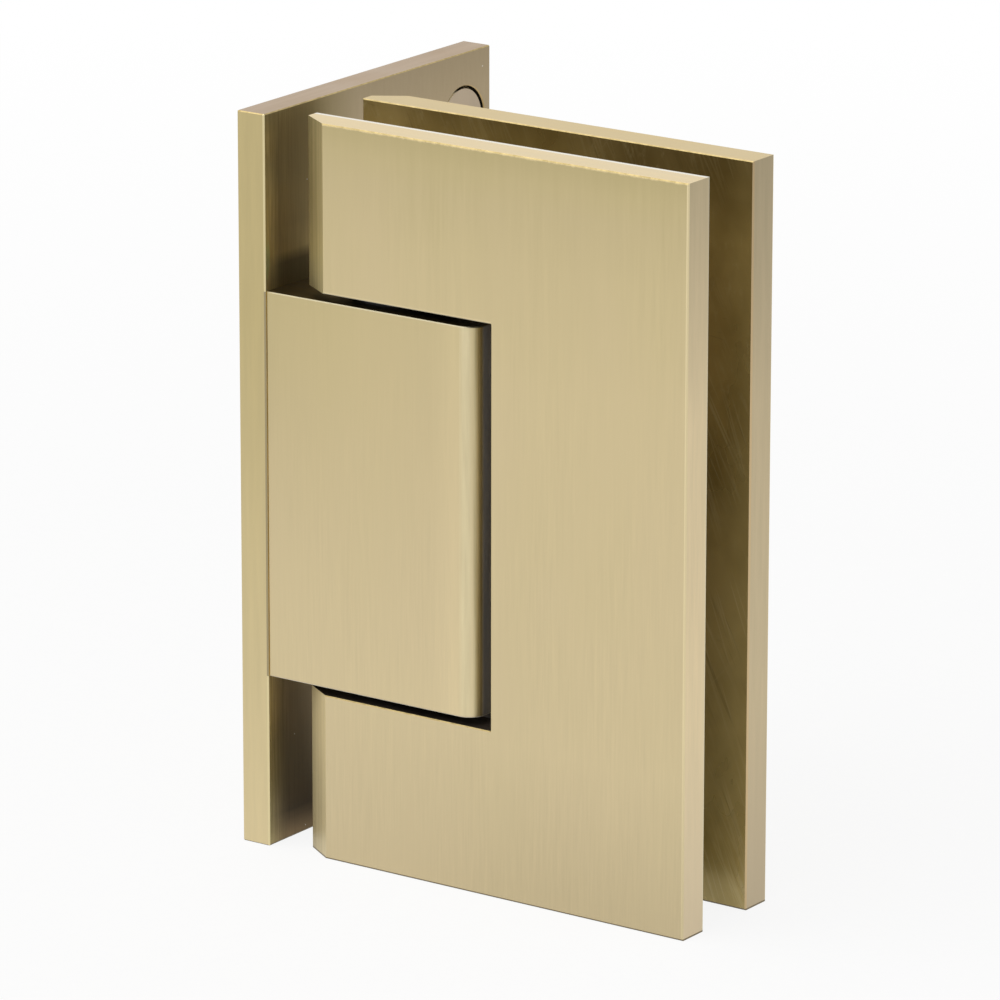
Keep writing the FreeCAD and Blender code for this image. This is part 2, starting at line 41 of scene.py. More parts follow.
# places and widths in metres, in the frame of the CAD
MM = 0.001
plate_low, plate_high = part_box("rear_clamp_plate")
HALF_HEIGHT = plate_high[2]
PLATE_LEFT = plate_low[0]
PLATE_RIGHT = plate_high[0]
PLATE_OUTER = plate_high[1]
PLATE_INNER = plate_low[1]
PLATE_MIDDLE = 0.5 * (PLATE_INNER + PLATE_OUTER)
BEVEL_WIDTH = 3.85 * MM
NOTCH_HALF = 24.6 * MM
NOTCH_END = 36.2 * MM
WALL_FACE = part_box("wall_plate")[1][0]
BLOCK_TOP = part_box("pivot_block")[1][2]
SCREW_PLACE = 31.2 * MM
SCREW_LEVEL = 36.5 * MM
HOLE_RADIUS = 4.7 * MM
THREAD_PITCH = 1.8 * MM

# a normal's component along an axis is above this on a flat side that looks along it
FACING = 0.9


class Graph:
    """A small helper round one material's or world's node tree."""

    def __init__(self, owner):
        owner.use_nodes = True
        self.tree = owner.node_tree
        self.tree.nodes.clear()

    def add(self, kind, inputs=None, **settings):
        node = self.tree.nodes.new(kind)
        for key, setting in settings.items():
            setattr(node, key, setting)
        for key, source in (inputs or {}).items():
            self.put(node.inputs[key], source)
        return node

    def put(self, socket, source):
        if isinstance(source, bpy.types.NodeSocket):
            self.tree.links.new(source, socket)
        else:
            socket.default_value = source

    def math(self, operation, first, second=0.0):
        node = self.add("ShaderNodeMath", operation=operation)
        self.put(node.inputs[0], first)
        self.put(node.inputs[1], second)
        return node.outputs[0]

    def more(self, value, limit):
        return self.math("GREATER_THAN", value, limit)

    def less(self, value, limit):
        return self.math("LESS_THAN", value, limit)

    def size(self, value):
        return self.math("ABSOLUTE", value)

    def minus(self, first, second):
        return self.math("SUBTRACT", first, second)

    def either(self, first, second):
        return self.math("MAXIMUM", first, second)

    def product(self, first, *others):
        for other in others:
            first = self.math("MULTIPLY", first, other)
        return first

    def blend(self, factor, first, second):
        node = self.add("ShaderNodeMix", data_type="RGBA")
        self.put(node.inputs[0], factor)
        self.put(node.inputs[6], first)
        self.put(node.inputs[7], second)
        return node.outputs[2]

    def between(self, factor, first, second):
        node = self.add("ShaderNodeMix", data_type="FLOAT")
        self.put(node.inputs[0], factor)
        self.put(node.inputs[2], first)
        self.put(node.inputs[3], second)
        return node.outputs[0]

    def scaled(self, tint, factor):
        if not isinstance(tint, bpy.types.NodeSocket):
            tint = tint[:3]
        node = self.add("ShaderNodeVectorMath", {0: tint, "Scale": factor}, operation="SCALE")
        return node.outputs[0]

    def noise(self, vector, scales, detail=3.0, rough=0.55):
        """Noise with its own scale along each axis, in features per metre."""
        stretch = self.add("ShaderNodeMapping", {"Vector": vector, "Scale": scales})
        inputs = {"Vector": stretch.outputs[0], "Scale": 1.0, "Detail": detail, "Roughness": rough}
        return self.add("ShaderNodeTexNoise", inputs).outputs[0]

    def ramp(self, value, low, high, start=0.0, end=1.0):
        inputs = {"Value": value, "From Min": low, "From Max": high, "To Min": start, "To Max": end}
        return self.add("ShaderNodeMapRange", inputs).outputs[0]

    def finish(self, shader):
        output = self.add("ShaderNodeOutputMaterial")
        self.put(output.inputs["Surface"], shader.outputs[0])


class Surface(Graph):
    """A material's node tree, with the shaded point in its piece's frame and the finish built up on it."""

    def __init__(self, name):
        self.material = bpy.data.materials.new(name)
        super().__init__(self.material)
        where = self.add("ShaderNodeTexCoord")
        self.spot = where.outputs["Object"]
        self.x, self.y, self.z = self.split(where.outputs["Object"])
        self.nx, self.ny, self.nz = self.split(where.outputs["Normal"])

    def split(self, vector):
        return self.add("ShaderNodeSeparateXYZ", {"Vector": vector}).outputs

    def by_width(self, start, stop, first=0.0, last=1.0):
        """A value that runs from first to last between two places along X, in mm."""
        return self.ramp(self.x, start * MM, stop * MM, first, last)

    def by_depth(self, start, stop, first=0.0, last=1.0):
        """A value that runs from first to last between two places along Y, in mm."""
        return self.ramp(self.y, start * MM, stop * MM, first, last)

    def by_height(self, start, stop, first=0.0, last=1.0):
        """A value that runs from first to last between two places along Z, in mm."""
        return self.ramp(self.z, start * MM, stop * MM, first, last)

    def near(self, place, limit, reach):
        """1 where a coordinate lies within reach of a limit, all in metres."""
        return self.less(self.size(self.minus(place, limit)), reach)

    def with_grain(self, start, end):
        """A value that runs from start to end with the grain."""
        return self.ramp(self.grain, 0.3, 0.7, start, end)

    def grained(self, dark, light):
        """A tint that runs from dark to light with the grain."""
        return self.blend(self.with_grain(0.0, 1.0), dark, light)

    def layer(self, mask, tint, roughness=None, metallic=None, height=None):
        """Lays another finish over this one where the mask is 1. What is left out stays as it was."""
        self.tint = self.blend(mask, self.tint, tint)
        if roughness is not None:
            self.roughness = self.between(mask, self.roughness, roughness)
        if metallic is not None:
            self.metallic = self.between(mask, self.metallic, metallic)
        if height is not None:
            self.height = self.between(mask, self.height, height)

    def close(self, bump, depth):
        shader = self.add("ShaderNodeBsdfPrincipled")
        self.put(shader.inputs["Base Color"], self.tint)
        self.put(shader.inputs["Roughness"], self.roughness)
        self.put(shader.inputs["Metallic"], self.metallic)
        inputs = {"Strength": bump, "Distance": depth, "Height": self.height}
        self.put(shader.inputs["Normal"], self.add("ShaderNodeBump", inputs).outputs[0])
        self.finish(shader)
        return self.material


def colour(red, green, blue):
    return (red, green, blue, 1.0)


# tints of the brass all over, and bump strength and depth of its brushing
BRASS_DARK = colour(0.600, 0.497, 0.268)
BRASS_LIGHT = colour(0.672, 0.562, 0.312)
BRASS_ROSE = colour(0.655, 0.540, 0.316)
BRASS_PALE = colour(0.665, 0.555, 0.365)
BRASS_YELLOW = colour(0.62, 0.517, 0.240)
BRUSHING = (0.10, 0.00004)


def brushed_brass(name):
    """Satin brass, brushed upright on its sides and lengthwise on its ends, and paler towards the foot."""
    skin = Surface(name)
    slope = skin.size(skin.nz)
    skin.rim = skin.product(skin.ramp(slope, 0.3, 0.45), skin.ramp(slope, 0.95, 0.85))
    skin.broad = skin.more(skin.size(skin.ny), FACING)
    upright = skin.noise(skin.spot, (1300, 1300, 75), detail=4.0, rough=0.66)
    level = skin.noise(skin.spot, (55, 1300, 1300), detail=4.0, rough=0.62)
    skin.grain = skin.between(skin.ramp(slope, 0.7, 0.8), upright, level)
    skin.cloud = skin.noise(skin.spot, (45, 45, 28), detail=3.0)
    skin.patch = skin.noise(skin.spot, (150, 150, 60), detail=2.0)

    streak = skin.between(skin.ramp(skin.patch, 0.35, 0.65, 0.50, 1.05), 0.5, skin.grain)
    tint = skin.blend(skin.ramp(streak, 0.28, 0.72), BRASS_DARK, BRASS_LIGHT)
    tint = skin.blend(skin.ramp(skin.cloud, 0.35, 0.65, 0.0, 0.75), tint, BRASS_ROSE)
    tint = skin.blend(skin.by_height(45, -45, 0.0, 0.6), tint, BRASS_PALE)
    lines = skin.noise(skin.spot, (3300, 3300, 110), detail=4.0, rough=0.7)
    lines = skin.between(skin.ramp(skin.patch, 0.35, 0.65, 0.35, 1.25), 0.5, lines)
    line_low = skin.by_height(32, -32, 0.992, 0.960)
    line_high = skin.by_height(32, -32, 1.008, 1.036)
    skin.tint = skin.scaled(tint, skin.ramp(lines, 0.3, 0.7, line_low, line_high))
    skin.roughness = skin.ramp(skin.math("ADD", skin.grain, skin.cloud), 0.7, 1.3, 0.36, 0.46)
    skin.metallic = 1.0
    skin.height = skin.grain
    return skin


# edge tints: the gold rim is the brass's edge tone, the crest a painted highlight, the under rim a painted
# reflection of the floor and the foot rim a painted shadow
GOLD_RIM = (colour(0.38, 0.290, 0.125), colour(0.52, 0.405, 0.190))
GOLD_CREST_HIGHLIGHT = (colour(0.74, 0.605, 0.315), colour(0.88, 0.730, 0.405))
UNDER_RIM_REFLECTION = colour(0.80, 0.72, 0.52)
FOOT_RIM_SHADOW = colour(0.17, 0.13, 0.065)
# the painted contact shadow's tint along the foot, the foot's level, and that shadow's width
FOOT_SHADOW = colour(0.22, 0.175, 0.105)
FOOT_LEVEL = -44 * MM
FOOT_SHADOW_WIDTH = 0.20 * MM


def edge_tones_and_painted_light(skin, crest_reach):
    """Tints the level edges: ragged gold above, darker towards the bottom, a painted reflection, pale,
    below, and a painted shadow, dark, at the foot. A ragged painted highlight runs down from the broad
    faces' upper edge.

    crest_reach is how far down the broad faces that painted highlight reaches at most.
    """
    ragged = skin.noise(skin.spot, (1300, 1300, 1300), 3.0, 0.65)
    fine = skin.ramp(skin.noise(skin.spot, (3600, 3600, 3600), 3.0, 0.7), 0.35, 0.65)
    gold = skin.blend(skin.ramp(ragged, 0.38, 0.62), *GOLD_RIM)
    gold = skin.scaled(gold, skin.by_height(-20, 40, 0.80, 1.0))
    # painted reflection, pale, on the under edges, and painted shadow, dark, on the edges at the foot
    below = skin.blend(skin.less(skin.z, FOOT_LEVEL), UNDER_RIM_REFLECTION, FOOT_RIM_SHADOW)
    under = skin.less(skin.nz, 0.0)
    skin.layer(skin.rim, skin.blend(under, gold, below), metallic=skin.ramp(under, 0.0, 1.0, 1.0, 0.3))

    # painted highlight: a ragged pale band down from the broad faces' upper edge
    reach = skin.ramp(ragged, 0.34, 0.66, 0.55 * crest_reach, crest_reach)
    drop = skin.minus(HALF_HEIGHT, skin.z)
    crest = skin.product(skin.broad, skin.ramp(drop, reach, skin.product(reach, 0.5)))
    skin.layer(crest, skin.blend(fine, *GOLD_CREST_HIGHLIGHT))


def foot_shadow_line(skin, side):
    """A painted contact shadow: a thin dark line along the foot of the sides that the mask picks."""
    foot = skin.product(side, skin.near(skin.z, -HALF_HEIGHT, FOOT_SHADOW_WIDTH))
    skin.layer(foot, FOOT_SHADOW)


def scratches(skin, across, along, angle, low, high):
    """Thin slanting scratches on a face that looks along Y."""
    tilt = (0.0, math.radians(angle), 0.0)
    lean = skin.add("ShaderNodeMapping", {"Vector": skin.spot, "Rotation": tilt})
    lines = skin.noise(lean.outputs[0], (across, across, along), 2.0)
    return skin.ramp(lines, low, high)


def specks(skin, density, reach, share):
    """Sparse dust specks: cells per metre, a radius in cells and the share of cells that hold a speck."""
    cells = skin.add("ShaderNodeTexVoronoi", {"Vector": skin.spot, "Scale": density})
    pick = skin.split(cells.outputs["Color"])[0]
    return skin.product(skin.less(cells.outputs["Distance"], reach), skin.less(pick, share))


# painted highlights along the notch's edges: width and tint
LEVEL_HEM_HIGHLIGHT = (0.28 * MM, colour(0.75, 0.625, 0.365))
UPRIGHT_HEM_HIGHLIGHT = (0.26 * MM, colour(0.70, 0.585, 0.345))


def face_finish(skin):
    """The broad faces: painted shade, darker at the top and at the foot, a yellower tone at the top, and a
    painted highlight as a pale hem at the notch.
    """
    # painted shade: darker along the top and at the foot, with a slight lift below the top
    grade = skin.product(
        skin.by_height(45, 42, 0.95, 1.0),
        skin.by_height(45, 32, 0.90, 1.0),
        skin.by_height(32, 18, 1.0, 1.045),
        skin.by_height(-26, -43, 1.0, skin.by_width(14, 45, 0.94, 0.86)),
    )
    tint = skin.blend(skin.by_height(45, 39, 0.35, 0.0), skin.tint, BRASS_YELLOW)
    skin.layer(skin.broad, skin.scaled(tint, grade))

    hem_width, hem_tint = LEVEL_HEM_HIGHLIGHT
    hem = skin.product(skin.near(skin.z, NOTCH_HALF, hem_width), skin.less(skin.x, NOTCH_END))
    skin.layer(skin.product(skin.broad, hem), hem_tint)
    hem_width, hem_tint = UPRIGHT_HEM_HIGHLIGHT
    hem = skin.product(skin.near(skin.x, NOTCH_END, hem_width), skin.less(skin.size(skin.z), NOTCH_HALF))
    skin.layer(skin.product(skin.broad, hem), hem_tint)


BEVEL_HIGH = (colour(0.46, 0.388, 0.192), colour(0.60, 0.502, 0.262))
BEVEL_LOW = (colour(0.51, 0.426, 0.240), colour(0.58, 0.486, 0.282))


def bevel_finish(skin):
    """The bevel beside the wall plate: streaked, with painted light and shade, lighter towards the face and
    the middle, and darker at the foot.
    """
    bevel = skin.product(skin.less(skin.nx, -0.4), skin.more(skin.size(skin.ny), 0.4))
    streaks = skin.ramp(skin.noise(skin.spot, (1900, 1900, 20), 3.0, 0.6), 0.34, 0.66)
    high = skin.blend(streaks, *BEVEL_HIGH)
    low = skin.blend(streaks, *BEVEL_LOW)
    tint = skin.blend(skin.by_height(20, -20), high, low)
    # painted light and shade: lighter towards the face and about the middle height, darker at the foot
    grade = skin.product(
        skin.ramp(skin.x, PLATE_LEFT, PLATE_LEFT + BEVEL_WIDTH, 0.90, 1.12),
        skin.by_height(36, 28, 1.0, 1.12),
        skin.by_height(20, -20, 1.0, 1.22),
        skin.by_height(-30, -43, 1.0, 0.78),
    )
    skin.layer(bevel, skin.scaled(tint, grade), metallic=skin.by_height(20, -25, 0.82, 0.42))


END_TINT = (colour(0.61, 0.505, 0.315), colour(0.68, 0.560, 0.355))
END_FOOT = colour(0.60, 0.500, 0.355)
OUTER_EDGE_HIGHLIGHT = colour(0.82, 0.695, 0.420)
OUTER_END_WIDTH = 0.18 * MM
OUTER_FACE_WIDTH = 0.26 * MM
INNER_WIDTH = 0.28 * MM


def end_finish(skin, level, top, edge):
    """The door end: rosy, with painted shade darkening its top and a little its foot, and a painted
    highlight as a line along each upright edge.

    level is the painted lightness of the whole end, top the share of it that is left at the top, and
    edge the tint of the painted highlight line beside the glass.
    """
    end = skin.more(skin.nx, FACING)
    rosy = skin.blend(skin.by_height(-20, -45, 0.0, 0.6), skin.grained(*END_TINT), END_FOOT)
    # painted shade: darker towards the top, and a little at the foot
    grade = skin.product(
        skin.by_height(46, 16, top * level, level),
        skin.by_height(-20, -45, 1.0, 0.92),
    )
    skin.layer(end, skin.scaled(rosy, grade))

    # painted highlights: lines along the outer and inner upright edges
    depth = skin.size(skin.y)
    corner = skin.product(skin.ramp(skin.nx, 0.4, 0.5), skin.ramp(skin.nx, 0.95, 0.85))
    outside = skin.more(depth, PLATE_MIDDLE)
    face = skin.product(skin.broad, outside)
    outer = skin.product(end, skin.near(depth, PLATE_OUTER, OUTER_END_WIDTH))
    outer = skin.either(outer, skin.product(face, skin.near(skin.x, PLATE_RIGHT, OUTER_FACE_WIDTH)))
    outer = skin.either(outer, skin.product(corner, outside))
    skin.layer(outer, skin.scaled(OUTER_EDGE_HIGHLIGHT, skin.by_height(-20, -42, 1.0, 0.82)))
    inner = skin.product(end, skin.near(depth, PLATE_INNER, INNER_WIDTH))
    inner = skin.either(inner, skin.product(corner, skin.minus(1.0, outside)))
    skin.layer(inner, skin.scaled(edge, grade))


def crown_finish(skin, tint, line, line_width):
    """The plate's top, with a painted highlight as a line along its edge beside the glass."""
    crown = skin.more(skin.nz, FACING)
    skin.layer(crown, skin.scaled(tint, skin.with_grain(0.97, 1.03)))
    back = skin.product(crown, skin.near(skin.size(skin.y), PLATE_INNER, line_width))
    skin.layer(back, line)


BARE_HIGH = (colour(0.285, 0.190, 0.047), colour(0.475, 0.336, 0.108))
BARE_LOW = (colour(0.30, 0.236, 0.090), colour(0.47, 0.382, 0.167))
BARE_CORNER = colour(0.085, 0.050, 0.010)
BARE_MARGIN = colour(0.45, 0.345, 0.130)
DARK_SCRATCH = colour(0.13, 0.088, 0.022)
LIGHT_SCRATCH = colour(0.66, 0.55, 0.28)
SMUDGE = colour(0.58, 0.48, 0.24)
BARE_DUST = colour(0.78, 0.74, 0.60)


def bare_tone(skin, blot):
    """The bare face's tone before its scratches: blotchy, with a dark upper corner and painted light in a
    lighter margin by the open door end.
    """
    high = skin.blend(blot, *BARE_HIGH)
    low = skin.blend(blot, *BARE_LOW)
    tone = skin.blend(skin.by_height(15, -30), high, low)
    tone = skin.scaled(tone, skin.product(
        skin.by_height(45, 41, 0.62, 1.0),
        skin.by_height(32, 18, 1.0, 1.11),
        skin.by_height(-10, -42, 0.95, 1.39),
    ))
    corner = skin.product(skin.by_height(35, 40), skin.by_width(36, 46, 0.0, 0.55))
    tone = skin.blend(corner, tone, BARE_CORNER)
    # painted light: a lighter margin by the door end, where light comes in between the plates
    margin = skin.product(
        skin.ramp(skin.x, PLATE_RIGHT - 4.0 * MM, PLATE_RIGHT - 0.6 * MM, 0.0, 0.5),
        skin.by_height(36, 20, 0.3, 1.0),
    )
    return skin.blend(margin, tone, skin.scaled(BARE_MARGIN, skin.by_height(5, -42, 1.0, 1.3)))


def bare_finish(skin, inward):
    """The face towards the glass: bare, olive brown and blotchy, with slanting scratches and a few nicks."""
    bare = skin.more(skin.product(skin.ny, inward), FACING)
    blot = skin.ramp(skin.noise(skin.spot, (90, 90, 60), 4.0), 0.36, 0.64)
    tone = bare_tone(skin, blot)

    group = skin.ramp(skin.patch, 0.42, 0.58)
    light = skin.either(
        scratches(skin, 3000, 45, 20, 0.56, 0.62),
        scratches(skin, 1900, 30, 29, 0.60, 0.65),
    )
    light = skin.product(skin.either(light, scratches(skin, 1700, 60, -40, 0.70, 0.76)), group)
    dark = skin.product(scratches(skin, 2100, 40, 26, 0.36, 0.31), group)
    nicks = skin.product(scratches(skin, 2600, 260, 84, 0.31, 0.27), skin.ramp(skin.cloud, 0.5, 0.56))
    tone = skin.blend(skin.product(skin.either(dark, nicks), 0.35), tone, DARK_SCRATCH)
    smudge = skin.product(
        skin.ramp(skin.noise(skin.spot, (900, 900, 420), 4.0, 0.7), 0.56, 0.68),
        skin.ramp(skin.cloud, 0.44, 0.54),
    )
    tone = skin.blend(skin.product(smudge, 0.22), tone, SMUDGE)
    tone = skin.blend(skin.product(light, skin.by_height(38, 10, 0.08, 0.40)), tone, LIGHT_SCRATCH)
    dust = skin.either(specks(skin, 130, 0.016, 0.25), specks(skin, 420, 0.045, 0.05))
    tone = skin.blend(dust, tone, BARE_DUST)
    skin.layer(bare, tone, skin.ramp(blot, 0.0, 1.0, 0.24, 0.36), 0.35, light)


# painted shade on the notch's level faces beside the block
NOTCH_SHADE = (colour(0.045, 0.035, 0.028), colour(0.085, 0.066, 0.050))
PLATE_CREST_REACH = 0.38 * MM


def clamp_brass(name, inward, crown, end):
    """The clamp plates' brass, with painted shade, near black and rougher, on the notch's faces above and
    below the block.

    inward is the sign of Y along which the bare face looks, and crown and end are what
    crown_finish and end_finish take.
    """
    skin = brushed_brass(name)
    face_finish(skin)
    bevel_finish(skin)
    edge_tones_and_painted_light(skin, PLATE_CREST_REACH)
    crown_finish(skin, *crown)
    end_finish(skin, *end)
    bare_finish(skin, inward)
    foot_shadow_line(skin, skin.less(skin.size(skin.nz), 0.2))
    # painted shade: the notch's level faces above and below the block, where the block shades them
    notch = skin.product(
        skin.more(skin.size(skin.nz), FACING),
        skin.less(skin.size(skin.z), NOTCH_HALF + 0.2 * MM),
        skin.less(skin.x, NOTCH_END + 0.5 * MM),
    )
    notch_shade = skin.blend(skin.ramp(skin.patch, 0.3, 0.7), *NOTCH_SHADE)
    skin.layer(notch, notch_shade, skin.with_grain(0.42, 0.55), 0.7)
    return skin.close(*BRUSHING)


# painted light and shade on the block: corner highlight, lit far turn, shaded end and level faces, glint on
# the lower rim
TURN_HIGHLIGHT = (colour(0.69, 0.590, 0.360), colour(0.80, 0.695, 0.435))
FAR_TURN_LIGHT = (colour(0.50, 0.430, 0.245), colour(0.71, 0.615, 0.374))
BLOCK_END_SHADE = (colour(0.213, 0.210, 0.228), colour(0.312, 0.312, 0.338))
BLOCK_LEVEL_SHADE = (colour(0.085, 0.060, 0.024), colour(0.14, 0.10, 0.042))
BLOCK_LOWER_RIM_GLINT = colour(0.90, 0.85, 0.72)
BLOCK_UPPER_RIM = colour(0.44, 0.39, 0.260)


def block_brass(name):
    """The pivot block's brass: painted shade makes its top and bottom dark and its end in the plates' notch
    grey, with painted light round its rounded corner and along its lower rim.
    """
    skin = brushed_brass(name)
    yellow = skin.product(
        skin.ramp(skin.z, -5 * MM, BLOCK_TOP, 0.0, 0.35),
        skin.by_width(30, 12, 0.3, 1.0),
    )
    tint = skin.blend(yellow, skin.tint, BRASS_YELLOW)
    # lighter towards the rounded corner as the start of its painted highlight; darker beside the wall plate
    # in its upper half and lighter towards the bottom
    skin.tint = skin.scaled(tint, skin.product(
        skin.between(skin.by_height(-10, 10), 1.0, skin.by_width(4, 18, 0.95, 1.0)),
        skin.ramp(skin.z, BLOCK_TOP, -BLOCK_TOP, 0.98, 1.07),
        skin.by_width(27.5, 31, 1.0, 1.07),
    ))

    # painted highlight round the rounded corner, and painted light on its far part
    turn = skin.product(skin.ramp(skin.nx, 0.02, 0.22), skin.ramp(skin.nx, 0.74, 0.52))
    skin.layer(turn, skin.grained(*TURN_HIGHLIGHT))
    streaks = skin.ramp(skin.noise(skin.spot, (3200, 3200, 60), 3.0, 0.6), 0.34, 0.66)
    far_turn = skin.product(skin.ramp(skin.nx, 0.68, 0.80), skin.ramp(skin.nx, 0.985, 0.955))
    skin.layer(far_turn, skin.blend(streaks, *FAR_TURN_LIGHT))
    # painted shade: grey on the end in the notch, dark on the top and bottom
    end = skin.ramp(skin.nx, 0.962, 0.994)
    skin.layer(end, skin.grained(*BLOCK_END_SHADE), skin.with_grain(0.45, 0.55), 0.5)
    level = skin.ramp(skin.size(skin.nz), 0.93, 0.97)
    skin.layer(level, skin.grained(*BLOCK_LEVEL_SHADE), skin.with_grain(0.38, 0.48))

    # painted highlight, pale, along the lower rim
    above = skin.more(skin.nz, 0.0)
    pale = skin.blend(above, BLOCK_LOWER_RIM_GLINT, BLOCK_UPPER_RIM)
    pale = skin.scaled(pale, skin.with_grain(0.88, 1.08))
    skin.layer(skin.rim, pale, metallic=skin.ramp(above, 0.0, 1.0, 0.25, 0.9))
    return skin.close(*BRUSHING)


DOOR_SIDE = (colour(0.459, 0.361, 0.223), colour(0.485, 0.387, 0.241))
# dark tints of the recess beside the block, as painted shade
SHADED_RECESS_HIGH = (colour(0.24, 0.186, 0.074), colour(0.42, 0.332, 0.150))
SHADED_RECESS_LOW = (colour(0.26, 0.203, 0.112), colour(0.41, 0.328, 0.188))
SHADED_RECESS_FOOT = (colour(0.295, 0.200, 0.098), colour(0.465, 0.325, 0.165))
SHADED_RECESS_EDGE = (colour(0.225, 0.188, 0.084), colour(0.385, 0.328, 0.166))
WALL_DUST = colour(0.9, 0.88, 0.82)


def painted_recess_shade(skin):
    """The wall plate's door side in front of the clamp plates' inner edge, above and below the block, in
    painted shade: dark tints, painted shadows next to the block and painted light towards its front edge.
    """
    above = skin.more(skin.z, 0.0)
    streaks = skin.ramp(skin.noise(skin.spot, (3000, 3000, 90), 4.0, 0.7), 0.28, 0.72)
    streaks = skin.between(skin.by_depth(-6.5, -3.0, 1.0, 0.3), 0.5, streaks)
    high = skin.blend(streaks, *SHADED_RECESS_HIGH)
    low = skin.blend(streaks, *SHADED_RECESS_LOW)
    low = skin.blend(skin.by_height(-37, -43), low, skin.blend(streaks, *SHADED_RECESS_FOOT))
    tone = skin.blend(above, low, high)
    tone = skin.blend(skin.by_depth(-5.0, -8.4, 0.0, 0.85), tone, skin.blend(streaks, *SHADED_RECESS_EDGE))

    # painted shadows above and below the block, and painted light towards the front edge
    behind = skin.by_depth(-8.4, -5.0)
    left_shadow = skin.by_height(26.6, 24.0, 1.0, 0.62)
    right_shadow = skin.by_height(27.8, 26.4, 1.0, 0.42)
    upper = skin.product(
        skin.by_height(43, 31, 1.0, 1.38),
        skin.by_height(31, 28, 1.0, 1.35),
        skin.between(behind, left_shadow, right_shadow),
    )
    left_dark = skin.product(skin.by_height(-28, -43, 1.2, 0.48), skin.by_height(-41.5, -44.5, 1.0, 1.3))
    right_dark = skin.product(skin.by_height(-26, -42.5, 1.12, 0.14), skin.by_height(-41.5, -44.5, 1.0, 4.0))
    lower = skin.between(behind, left_dark, right_dark)
    edge_light = skin.between(above, 2.1, skin.by_height(45, 42, 1.2, 2.2))
    return skin.scaled(tone, skin.product(
        skin.between(above, lower, upper),
        skin.by_depth(-6.0, -8.8, 1.0, edge_light),
        skin.by_depth(-5.5, -1.0, 1.05, 0.82),
    ))


def door_side_finish(skin):
    """The wall plate's door side: brown and dusty, with painted shade beside the block."""
    haze = skin.ramp(skin.noise(skin.spot, (2600, 2600, 320), 4.0, 0.7), 0.28, 0.72)
    brown = skin.scaled(skin.blend(haze, *DOOR_SIDE), skin.by_height(45, 40, 0.88, 1.0))
    brown = skin.blend(skin.by_depth(10, 0), brown, painted_recess_shade(skin))
    dust = skin.either(specks(skin, 240, 0.02, 0.12), specks(skin, 520, 0.05, 0.03))
    brown = skin.blend(dust, brown, WALL_DUST)
    skin.layer(skin.more(skin.nx, FACING), brown, skin.ramp(skin.patch, 0.3, 0.7, 0.38, 0.46))


WALL_FRONT_HIGH = colour(0.572, 0.471, 0.238)
WALL_FRONT_LOW = colour(0.725, 0.605, 0.355)
WALL_ROSE = (colour(0.415, 0.303, 0.193), colour(0.465, 0.347, 0.231))
WALL_CREST_REACH = 0.14 * MM
SEAM_WIDTH = 0.22 * MM
SEAM_OPEN = colour(0.80, 0.690, 0.400)
SEAM_BESIDE_BLOCK = colour(0.40, 0.335, 0.200)
LIP_TINT = (colour(0.62, 0.46, 0.22), colour(0.72, 0.55, 0.28))
# painted shadow behind and painted light in front on the recess walls
PIT_SHADOW = (colour(0.012, 0.010, 0.006), colour(0.035, 0.028, 0.018))
PIT_FRONT_LIGHT = colour(0.90, 0.80, 0.60)


def recess_finish(skin):
    """The wall screws' recesses: a golden lip, and walls with painted light in front and painted shadow
    behind.
    """
    aside = skin.minus(skin.y, SCREW_PLACE)
    rise = skin.minus(skin.size(skin.z), SCREW_LEVEL)
    radius = skin.math("SQRT", skin.math("ADD", skin.product(aside, aside), skin.product(rise, rise)))
    hole = skin.less(radius, HOLE_RADIUS)
    lip = skin.product(hole, skin.ramp(skin.nx, 0.5, 0.6), skin.ramp(skin.nx, 0.9, 0.8))
    skin.layer(lip, skin.blend(skin.grain, *LIP_TINT), metallic=0.6)
    pit = skin.product(hole, skin.less(skin.size(skin.nx), 0.5))
    deep = skin.blend(skin.grain, *PIT_SHADOW)
    deep = skin.blend(skin.ramp(aside, -1.6 * MM, -0.2 * MM), PIT_FRONT_LIGHT, deep)
    skin.layer(pit, deep, 0.5, 0.2)


def wall_brass(name):
    """The wall plate's brass: a yellow front edge, rosy ends, a brown door side with painted shade beside
    the block, and the screw recesses with painted light and shadow.
    """
    skin = brushed_brass(name)
    front = skin.blend(skin.by_height(20, -45), WALL_FRONT_HIGH, WALL_FRONT_LOW)
    skin.layer(skin.less(skin.ny, -FACING), skin.scaled(front, skin.with_grain(0.96, 1.04)))
    edge_tones_and_painted_light(skin, WALL_CREST_REACH)
    ends = skin.ramp(skin.size(skin.nz), 0.8, 0.9)
    along = skin.noise(skin.spot, (1300, 55, 1300), detail=4.0, rough=0.62)
    rose = skin.blend(skin.ramp(along, 0.3, 0.7), *WALL_ROSE)
    skin.layer(ends, rose, skin.ramp(skin.patch, 0.3, 0.7, 0.38, 0.46))
    door_side_finish(skin)
    foot_shadow_line(skin, skin.more(skin.nx, FACING))
    seam = skin.product(skin.less(skin.ny, -0.4), skin.near(skin.x, WALL_FACE, SEAM_WIDTH))
    beside = skin.less(skin.size(skin.z), BLOCK_TOP)
    skin.layer(seam, skin.blend(beside, SEAM_OPEN, SEAM_BESIDE_BLOCK))
    recess_finish(skin)
    return skin.close(*BRUSHING)


def tool_marks(name, light, dark, rough, axis):
    """Metal with fine tool marks across one axis, for screws, pins and springs."""
    skin = Surface(name)
    scales = [250, 250, 250]
    scales[axis] = 9000
    rings = skin.noise(skin.spot, scales, detail=2.0)
    cloud = skin.noise(skin.spot, (450, 450, 450))
    tone = skin.math("ADD", skin.product(rings, 0.6), skin.product(cloud, 0.4))
    skin.tint = skin.blend(skin.ramp(tone, 0.3, 0.7), dark, light)
    skin.roughness = skin.ramp(cloud, 0.3, 0.7, rough - 0.05, rough + 0.08)
    skin.metallic = 1.0
    skin.height = rings
    return skin


